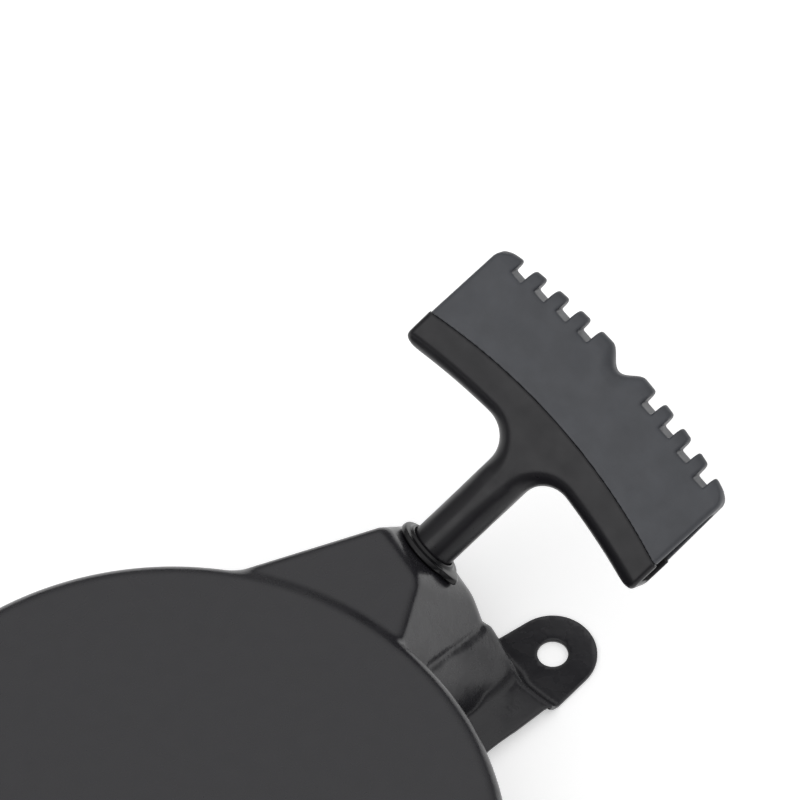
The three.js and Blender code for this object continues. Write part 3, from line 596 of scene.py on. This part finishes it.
def cover_surface(x, y, z):
    body = round_min(drum(x, y, z), turret(x, y, z), FOOT_FILLET)
    body = round_min(body, gusset(x, y, z), GUSSET_SEAM)
    body = round_max(body, -crease(x, y, z), CREASE_EDGE)
    return round_min(body, ground(x, y, z), FOOT_FILLET)


def cover_outline(x, y, z):
    """Negative where there is sheet, as seen along the axis; the eyelet's hole follows the rope's exit."""
    level = np.full_like(x, LEG_LEVEL)
    body = round_min(drum(x, y, level), turret(x, y, level), TURRET_PLAN_FILLET) - LIP
    out, side = along_ear(x, y)
    leg = np.maximum(side - LEG_HALF_WIDTH, out - STEP_REACH)
    root = STEP_REACH - SHEET
    reach = math.hypot(root - HOLE_CIRCLE, EAR_ROOT)
    lean = math.atan2(EAR_ROOT, root - HOLE_CIRCLE) - math.acos(EAR_RADIUS / reach)
    beyond = out - HOLE_CIRCLE
    flank = math.cos(lean) * beyond + math.sin(lean) * side - EAR_RADIUS
    tip = np.hypot(beyond, side) - EAR_RADIUS
    ear = np.where(np.arctan2(side, beyond) < lean, tip, flank)
    ear = np.maximum(ear, root - out)
    plan = round_min(round_min(leg, body, LEG_FILLET), ear, EAR_FILLET)
    plan = np.maximum(plan, HOLE_RADIUS - np.hypot(beyond, side))
    offset = [x - exit_seat[0], y - exit_seat[1], z - exit_seat[2]]
    ahead = sum(o * a for o, a in zip(offset, exit_axis))
    aside = np.sqrt(np.maximum(sum(o**2 for o in offset) - ahead**2, 0))
    eyelet_hole = np.minimum(EYELET_HOLE - aside, 3 * SHEET - np.abs(ahead))
    return np.maximum(plan, eyelet_hole)


def sheet_top(x, y, z):
    """Outline of the sheet's upper face, inside the rounded edge."""
    return cover_outline(x, y, z) + SHEET_EDGE


def to_outline(points, rounds=4):
    """Moves points along the cover's surface onto the upper face's outline; also the way outward."""
    for _ in range(rounds):
        points = settle(cover_surface, points, 1)
        normal = unit(gradient(cover_surface, points))
        away = gradient(sheet_top, points)
        away -= (away * normal).sum(1)[:, None] * normal
        size = np.maximum((away**2).sum(1), 0.05)
        shift = np.clip(sheet_top(*points.T) / size, -0.5, 0.5)
        points = points - away * shift[:, None]
    return points, unit(away)


def trim(points, quads, step):
    """Cuts the surface at its outline, and returns its points and polygons."""
    value = sheet_top(*points.T)
    near = np.flatnonzero(np.abs(value) < 0.35 * step)
    points[near] = to_outline(points[near])[0]
    value[near] = 0
    quads = quads[(value[quads] < 0).any(1)]
    crossing = (value[quads] > 0).any(1)
    polygons = quads[~crossing].tolist()
    points = list(points)
    cuts = {}

    def cut(a, b):
        key = (min(a, b), max(a, b))
        if key not in cuts:
            share = value[a] / (value[a] - value[b])
            cuts[key] = len(points)
            points.append(points[a] + share * (points[b] - points[a]))
        return cuts[key]

    for quad in quads[crossing].tolist():
        polygon = []
        for a, b in zip(quad, quad[1:] + quad[:1]):
            if value[a] <= 0:
                polygon.append(a)
            if value[a] * value[b] < 0:
                polygon.append(cut(a, b))
        if len(polygon) > 2:
            polygons.append(polygon)
    points = np.array(points)
    fresh = np.array(sorted(cuts.values()))
    points[fresh] = to_outline(points[fresh])[0]
    used, flat = np.unique([p for polygon in polygons for p in polygon], return_inverse=True)
    ends = np.cumsum([0] + [len(p) for p in polygons])
    polygons = [flat[a:b].tolist() for a, b in zip(ends, ends[1:])]
    return points[used], polygons


def open_edges(polygons):
    """Directed edges that only one polygon has."""
    edges = {(a, b) for p in polygons for a, b in zip(p, p[1:] + p[:1])}
    return [(a, b) for a, b in edges if (b, a) not in edges]


def make_cover(material):
    step = 1.0
    low, high = node_box("cover_shell")
    points, quads = surface_net(cover_surface, low - [3, 3, 0], high + [3, 3, 2], step)
    points, polygons = trim(points, quads, step)
    normal = unit(gradient(cover_surface, points))
    border = open_edges(polygons)
    rim = sorted({a for edge in border for a in edge})
    points[rim], outward = to_outline(points[rim], 2)
    edge = points[rim] + SHEET_EDGE * outward
    inner = points - SHEET * normal
    count = len(points)
    corner = SHEET_EDGE * (1 - math.sqrt(0.5))
    rings = [(-corner, corner), (0, SHEET_EDGE), (0, SHEET - SHEET_EDGE), (-corner, SHEET - corner)]
    layers = [edge + out * outward - depth * normal[rim] for out, depth in rings]
    place = {vertex: i for i, vertex in enumerate(rim)}
    levels = [lambda v: v]
    for k in range(len(rings)):
        levels.append(lambda v, k=k: 2 * count + k * len(rim) + place[v])
    levels.append(lambda v: count + v)
    faces = list(polygons) + [[count + v for v in reversed(p)] for p in polygons]
    for a, b in border:
        for upper, lower in zip(levels, levels[1:]):
            faces.append([upper(b), upper(a), lower(a), lower(b)])
    cover = new_piece("cover", np.concatenate([points, inner, *layers]), faces, material)
    attach(cover, "housing", "cover_shell")


# ---------------------------------------------------------------- handle
def arch(x, radius):
    """How far a shallow arc has fallen at a distance from its middle."""
    return x**2 / (2 * radius)


def by_height(values, z):
    return np.interp(z, list(values), list(values.values()))


def seam_distance(x, z):
    return z - (SEAM - arch(x, SEAM_ARC))


def handle_field(x, y, z, end, scalloped):
    """The handle as a filled body with its cavity and bore cut out; end is half its length."""
    crest = BAR_TOP - arch(x, BAR_TOP_ARC)
    slope = x / BAR_TOP_ARC
    if scalloped:
        share = np.clip(x / SCALLOP_HALF, -1, 1)
        crest = crest - SCALLOP_DEPTH * 0.5 * (1 + np.cos(math.pi * share))
        slope = slope - SCALLOP_DEPTH * 0.5 * math.pi / SCALLOP_HALF * np.sin(math.pi * share)
    underside = BAR_BOTTOM - arch(x, BAR_BOTTOM_ARC)
    top = (z - crest) / np.hypot(1, slope)
    bottom = (underside - z) / np.hypot(1, x / BAR_BOTTOM_ARC)
    neck = np.maximum(np.abs(x) - NECK, z - BAR_BOTTOM - 2)
    front = round_min(np.maximum(top, bottom), neck, FLARE)
    ends = round_max(np.maximum(top, bottom), np.abs(x) - end, BAR_CORNER)
    to_end = np.interp(np.abs(x), [end - END_ZONE, end - END_LAND], [0, 1])
    away = np.abs(x) < end - END_ZONE - END_LAND
    ends = np.where(away, -BAR_CORNER, ends - END_LAND * (1 - to_end))
    above = seam_distance(x, z)
    depth = BAR_HALF_DEPTH - TAPER_ABOVE_SEAM * np.maximum(above, 0)
    depth = depth + TAPER_BELOW_SEAM * np.minimum(above, 0)
    depth = np.where(z < 0, NECK, np.maximum(depth, by_height(NECK_HALF_DEPTH, z)))
    edge = by_height(LONG_EDGE, z)
    cheek = np.abs(y) - np.where(z < NECK_TOP, NECK, depth)
    outside = np.minimum(np.maximum(front, cheek), -edge)
    outside = outside + np.hypot(np.maximum(front + edge, 0), np.maximum(cheek + edge, 0))
    outside = round_max(outside, ends, END_EDGE)
    roof = z - (BAR_TOP - NOTCH_DEPTH - BAR_WALL - arch(x, BAR_TOP_ARC))
    sill = underside + BAR_WALL + SILL_RISE * to_end - z
    cavity = round_max(round_max(roof, sill, CAVITY_ROUND), np.abs(y) - depth + BAR_WALL, CAVITY_SIDE_ROUND)
    bore = np.maximum(np.hypot(x, y) - NECK_BORE, z - BAR_BOTTOM - BAR_WALL - 1)
    solid = round_max(outside, -NECK_DEPTH - z, NECK_END_EDGE)
    return round_max(round_max(solid, -cavity, CAVITY_EDGE), -bore, BORE_EDGE)


def saddle(x, y, z):
    return round_max(handle_field(x, y, z, BAR_HALF_LENGTH, False), seam_distance(x, z), SEAM_EDGE)


def pad(x, y, z):
    solid = handle_field(x, y, z, BAR_HALF_LENGTH - PAD_INSET, True)
    for i in range(NOTCHES):
        middle = FIRST_NOTCH + i * NOTCH_PITCH
        floor = BAR_TOP - arch(middle, BAR_TOP_ARC) - NOTCH_DEPTH
        notch = round_max(np.abs(np.abs(x) - middle) - NOTCH_WIDTH / 2, floor - z, NOTCH_ROOT)
        solid = round_max(solid, -notch, NOTCH_EDGE)
    return round_max(solid, SEAM_GAP - seam_distance(x, z), SEAM_EDGE)


def make_handle(materials):
    placement = exit_placement(eyelet_face, HANDLE_TWIST)
    side = BAR_HALF_LENGTH + 1
    deep = BAR_HALF_DEPTH + 1
    seam_ends = SEAM - arch(side, SEAM_ARC)
    bottom = [-side, -deep, -NECK_DEPTH - 1]
    points, faces = surface_net(saddle, bottom, [side, deep, SEAM + 1], 0.45)
    piece = new_piece("handle_saddle", points, faces, materials["handle_plastic"], placement)
    attach(piece, "handle", "handle_body")
    points, faces = surface_net(pad, [-side, -deep, seam_ends - 1], [side, deep, BAR_TOP + 1], 0.4)
    piece = new_piece("handle_pad", points, faces, materials["grip_plastic"], placement)
    attach(piece, "handle", "handle_grip")


# ---------------------------------------------------------------- eyelet
def rounded(corners, radius, steps=4):
    """A closed outline with each corner replaced by an arc-like curve."""
    outline = []
    count = len(corners)
    for i, corner in enumerate(corners):
        here = np.array(corner, float)
        before = np.array(corners[i - 1], float) - here
        after = np.array(corners[(i + 1) % count], float) - here
        limit = 0.45 * min(np.linalg.norm(before), np.linalg.norm(after), radius / 0.45)
        start = here + unit(before) * limit
        end = here + unit(after) * limit
        for k in range(steps + 1):
            t = k / steps
            outline.append((1 - t) ** 2 * start + 2 * t * (1 - t) * here + t**2 * end)
    return np.array(outline)


def revolve(outline, segments):
    """Points and quads of a closed outline of (radius, height) turned round the local Z axis."""
    angle = np.arange(segments) * 2 * math.pi / segments
    radius, height = outline[:, 0], outline[:, 1]
    points = np.stack([
        np.outer(np.cos(angle), radius),
        np.outer(np.sin(angle), radius),
        np.tile(height, (segments, 1)),
    ], -1).reshape(-1, 3)
    n = len(outline)
    faces = []
    for i in range(segments):
        for k in range(n):
            a, b = i * n, (i + 1) % segments * n
            faces.append([a + k, b + k, b + (k + 1) % n, a + (k + 1) % n])
    return points, faces


def make_eyelet(material):
    """Flanged bush: a rolled outer flange, a raised lip round the neck and a small drip tongue."""
    top = CLEARANCE + FLANGE_THICKNESS
    rim = top - EYELET_LIP
    recess = NECK + CLEARANCE
    floor = top - NECK_DEPTH - CLEARANCE
    back = -SHEET - CLEARANCE
    tail = back - INNER_FLANGE
    corners = [
        (EYELET_THROAT, floor),
        (recess, floor),
        (recess, top),
        (recess + 0.95, top),
        (recess + 1.15, rim),
        (FLANGE_RADIUS - 0.3, rim - 0.1),
        (FLANGE_RADIUS, CLEARANCE),
        (EYELET_BARREL, CLEARANCE),
        (EYELET_BARREL, back),
        (INNER_FLANGE_RADIUS, back),
        (INNER_FLANGE_RADIUS, tail),
        (EYELET_BARREL - 0.8, tail),
        (EYELET_BARREL - 1.6, tail - EYELET_TAIL),
        (EYELET_THROAT + 1.6, tail - EYELET_TAIL),
        (EYELET_THROAT, tail - EYELET_TAIL + 2.4),
    ]
    points, faces = revolve(rounded(corners, EYELET_ROUND), 144)
    radius = np.hypot(points[:, 0], points[:, 1])
    angle = np.degrees(np.arctan2(points[:, 1], points[:, 0])) - TONGUE_AZIMUTH
    tongue = np.maximum(1.1 - np.hypot(angle / TONGUE_SPREAD, 0.1), 0)
    outer = np.clip((radius - recess - 1) / 1.2, 0, 1) * (points[:, 2] > 0)
    points[:, :2] *= (1 + TONGUE_REACH * tongue * outer)[:, None]
    piece = new_piece("eyelet", points, faces, material, exit_placement(exit_seat, 0))
    attach(piece, "housing", "rope_eyelet")


# ---------------------------------------------------------------- rope
BRAID_PITCH = 1.3 * ROPE
BRAID_DEPTH = 0.05  # of the strands, as a share of the rope's radius
LAYER_RISE = 0.97 * ROPE  # an upper turn sinks a little between the lower ones
HIDDEN_LENGTH = 30  # of rope inside the handle's neck that doesn't stretch
LEAD_RINGS = 1500
RINGS_PER_TURN = 420
CROSSING_TURN = (0.85, 1.15)  # where each layer crosses the groove, counted in turns


def braid(points, phase, sides=16, closed=False):
    """A tube of braided rope along the points; phase is each ring's length of rope from the start."""
    steps = unit(np.gradient(points, axis=0))
    across = np.cross(steps[0], [0.31, 0.17, 0.93])
    rings = []
    theta = np.arange(sides) * 2 * math.pi / sides
    for point, ahead, s in zip(points, steps, phase):
        across = unit(across - (across @ ahead) * ahead)
        other = np.cross(ahead, across)
        lay = 2 * math.pi * s / BRAID_PITCH
        strand = np.sin(lay + 4 * theta) * np.sin(lay - 4 * theta)
        radius = ROPE / 2 * (1 - BRAID_DEPTH + BRAID_DEPTH * strand)
        circle = np.outer(np.cos(theta), across) + np.outer(np.sin(theta), other)
        rings.append(point + radius[:, None] * circle)
    count = len(rings)
    faces = []
    for i in range(count if closed else count - 1):
        a, b = i * sides, (i + 1) % count * sides
        for k in range(sides):
            n = (k + 1) % sides
            faces.append([a + k, a + n, b + n, b + k])
    if not closed:
        faces.append(list(range(sides))[::-1])
        faces.append([(count - 1) * sides + k for k in range(sides)])
    return np.concatenate(rings), faces


def travelled(points):
    return np.concatenate([[0], np.cumsum(np.linalg.norm(np.diff(points, axis=0), axis=1))])


def make_winding(material):
    """Turns of rope on the pulley: each layer runs across the groove and back."""
    points = []
    inner = GROOVE_RADIUS + CLEARANCE + ROPE / 2
    total = TURNS_PER_LAYER * RINGS_PER_TURN
    half = ROPE * (TURNS_PER_LAYER - 1) / 2 + 0.05
    for layer in range(ROPE_LAYERS):
        for i in range(total):
            turn = i / RINGS_PER_TURN
            angle = 2 * math.pi * turn
            climb = np.interp(turn, CROSSING_TURN, (0, 1))
            height = half * (1 - 2 * climb) * (1 if layer == 0 else -1)
            lift = np.clip((turn - TURNS_PER_LAYER + 0.2) / 0.2, 0, 1) if layer < ROPE_LAYERS - 1 else 0
            radius = inner + (layer + lift) * LAYER_RISE
            points.append([radius * math.cos(angle), radius * math.sin(angle), GROOVE_MIDDLE + height])
    points = np.array(points)
    made, faces = braid(points, travelled(points))
    piece = new_piece("rope_turns", made, faces, material)
    attach(piece, "pulley", "rope_winding")


def make_run(material):
    """From the winding straight towards the exit's axis, then in one bend up into the eyelet."""
    crossing = exit_seat - exit_axis * (exit_seat[2] - GROOVE_MIDDLE) / exit_axis[2]
    lay = GROOVE_RADIUS + CLEARANCE + (ROPE_LAYERS + 0.5) * ROPE
    reach = math.hypot(crossing[0], crossing[1])
    touch = math.atan2(crossing[1], crossing[0]) + math.acos(lay / reach)
    leave = np.array([lay * math.cos(touch), lay * math.sin(touch), GROOVE_MIDDLE])
    along = unit(crossing - leave)
    bend = ROPE_BEND * math.tan(math.acos(along @ exit_axis) / 2)
    first = crossing - along * bend
    last = crossing + exit_axis * bend
    end = exit_seat - (SHEET + CLEARANCE) * exit_axis
    share = np.linspace(0, 1, 60)[:, None]
    straight = leave + np.linspace(0, 1, 110)[:-1, None] * (first - leave)
    curve = (1 - share) ** 2 * first + 2 * share * (1 - share) * crossing + share**2 * last
    rest = last + np.linspace(0, 1, 20)[1:, None] * (end - last)
    points = np.concatenate([straight, curve, rest])
    made, faces = braid(points, travelled(points))
    piece = new_piece("rope_inside", made, faces, material)
    attach(piece, "housing", "rope_run")


def make_lead(material):
    """Rope from the eyelet's throat to the handle; the braid's phase along its rings spans the handle's full pull.
    """
    pull = joints["handle_pull"]["range_m"][1] / MM
    start = exit_seat - SHEET * exit_axis
    hidden = eyelet_face + HIDDEN_LENGTH * exit_axis
    end = eyelet_face + (BAR_BOTTOM + BAR_WALL + CLEARANCE) * exit_axis
    weight = np.linspace(0, 1, LEAD_RINGS)
    share = 0.5 - np.sin(np.arcsin(1 - 2 * weight) / 3)
    points = start + share[:, None] * (hidden - start)
    tail = hidden + np.linspace(0, 1, 24)[1:, None] * (end - hidden)
    phase = np.concatenate([weight * pull, pull + travelled(np.vstack([hidden, tail]))[1:]])
    made, faces = braid(np.concatenate([points, tail]), phase)
    piece = new_piece("rope_pulled", made, faces, material)
    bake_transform(piece)
    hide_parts("rope_lead")


def make_knot(name, node, body, material, axis):
    """An overhand knot drawn tight, filling its node's box."""
    low, high = node_box(node)
    middle = (low + high) / 2
    t = np.linspace(0, 2 * math.pi, 240, endpoint=False)
    loop = np.stack([np.sin(t) + 2 * np.sin(2 * t), np.cos(t) - 2 * np.cos(2 * t), -np.sin(3 * t)], 1)
    up = unit(np.array(axis))
    side = unit(np.cross(up, [0.2, 1.0, 0.1]))
    size = min(high - low) / 2 - 0.42 * ROPE
    knot_axes = np.stack([side, np.cross(up, side), up])
    points = middle + (loop / 3 * size * [1, 1, 1.5]) @ knot_axes
    made, faces = braid(points, travelled(points), 12, closed=True)
    made = middle + (made - middle) * 0.92
    piece = new_piece(name, made, faces, material)
    attach(piece, body, node)


# ---------------------------------------------------------------- pieces carried over from CAD
WELD_DISTANCE = 0.002
BROKEN_EDGE = 0.22
BEVEL_ANGLE = 35
FLAT_ANGLE = 0.5
FACETED_LIMIT = 32
WIRE_LIMIT = 64


def smooth_by_angle(limit):
    """Geometry nodes that shade a mesh smooth except where its faces meet at more than the limit."""
    tree = bpy.data.node_groups.new(f"smooth_{limit}", "GeometryNodeTree")
    tree.interface.new_socket("Geometry", in_out="INPUT", socket_type="NodeSocketGeometry")
    tree.interface.new_socket("Geometry", in_out="OUTPUT", socket_type="NodeSocketGeometry")
    start = tree.nodes.new("NodeGroupInput")
    end = tree.nodes.new("NodeGroupOutput")
    angle = tree.nodes.new("GeometryNodeInputMeshEdgeAngle")
    small = tree.nodes.new("FunctionNodeCompare")
    small.operation = "LESS_THAN"
    small.inputs["B"].default_value = math.radians(limit)
    edges = tree.nodes.new("GeometryNodeSetShadeSmooth")
    edges.domain = "EDGE"
    faces = tree.nodes.new("GeometryNodeSetShadeSmooth")
    faces.domain = "FACE"
    links = tree.links
    links.new(angle.outputs["Unsigned Angle"], small.inputs["A"])
    links.new(start.outputs[0], edges.inputs["Geometry"])
    links.new(small.outputs["Result"], edges.inputs["Shade Smooth"])
    links.new(edges.outputs["Geometry"], faces.inputs["Geometry"])
    links.new(faces.outputs["Geometry"], end.inputs[0])
    return tree


def dress_cad_nodes(materials):
    """Broken edges, smooth round faces and a real finish for each CAD node that is still shown."""
    slots = {row["node"]: row["material_slot"] for row in frame["record"]["subparts"]}
    faceted_shading = smooth_by_angle(FACETED_LIMIT)
    wire_shading = smooth_by_angle(WIRE_LIMIT)
    for name, piece in frame["nodes"].items():
        if piece.hide_render:
            continue
        piece.data.materials.clear()
        piece.data.materials.append(materials[slots[name]])
        wire = name.startswith(("pawl_spring", "brake_spring"))
        weld = piece.modifiers.new("weld", "WELD")
        weld.merge_threshold = WELD_DISTANCE * MM
        if not wire:
            flat = piece.modifiers.new("flat_faces", "DECIMATE")
            flat.decimate_type = "DISSOLVE"
            flat.angle_limit = math.radians(FLAT_ANGLE)
            bevel = piece.modifiers.new("broken_edges", "BEVEL")
            bevel.width = BROKEN_EDGE * MM
            bevel.segments = 2
            bevel.limit_method = "ANGLE"
            bevel.angle_limit = math.radians(BEVEL_ANGLE)
        shade = piece.modifiers.new("shading", "NODES")
        shade.node_group = wire_shading if wire else faceted_shading


add_camera()
add_softbox()
add_sky()
add_floor()
materials = make_materials()
make_cover(materials["coated_steel"])
make_handle(materials)
make_eyelet(materials["eyelet_plastic"])
make_winding(materials["rope_nylon"])
make_run(materials["rope_nylon"])
make_lead(materials["rope_nylon"])
make_knot("rope_knot", "rope_end_knot", "rope_end", materials["rope_nylon"], exit_axis)
make_knot("anchor_knot", "rope_anchor_knot", "pulley", materials["rope_nylon"], (1, 0, 0))
dress_cad_nodes(materials)
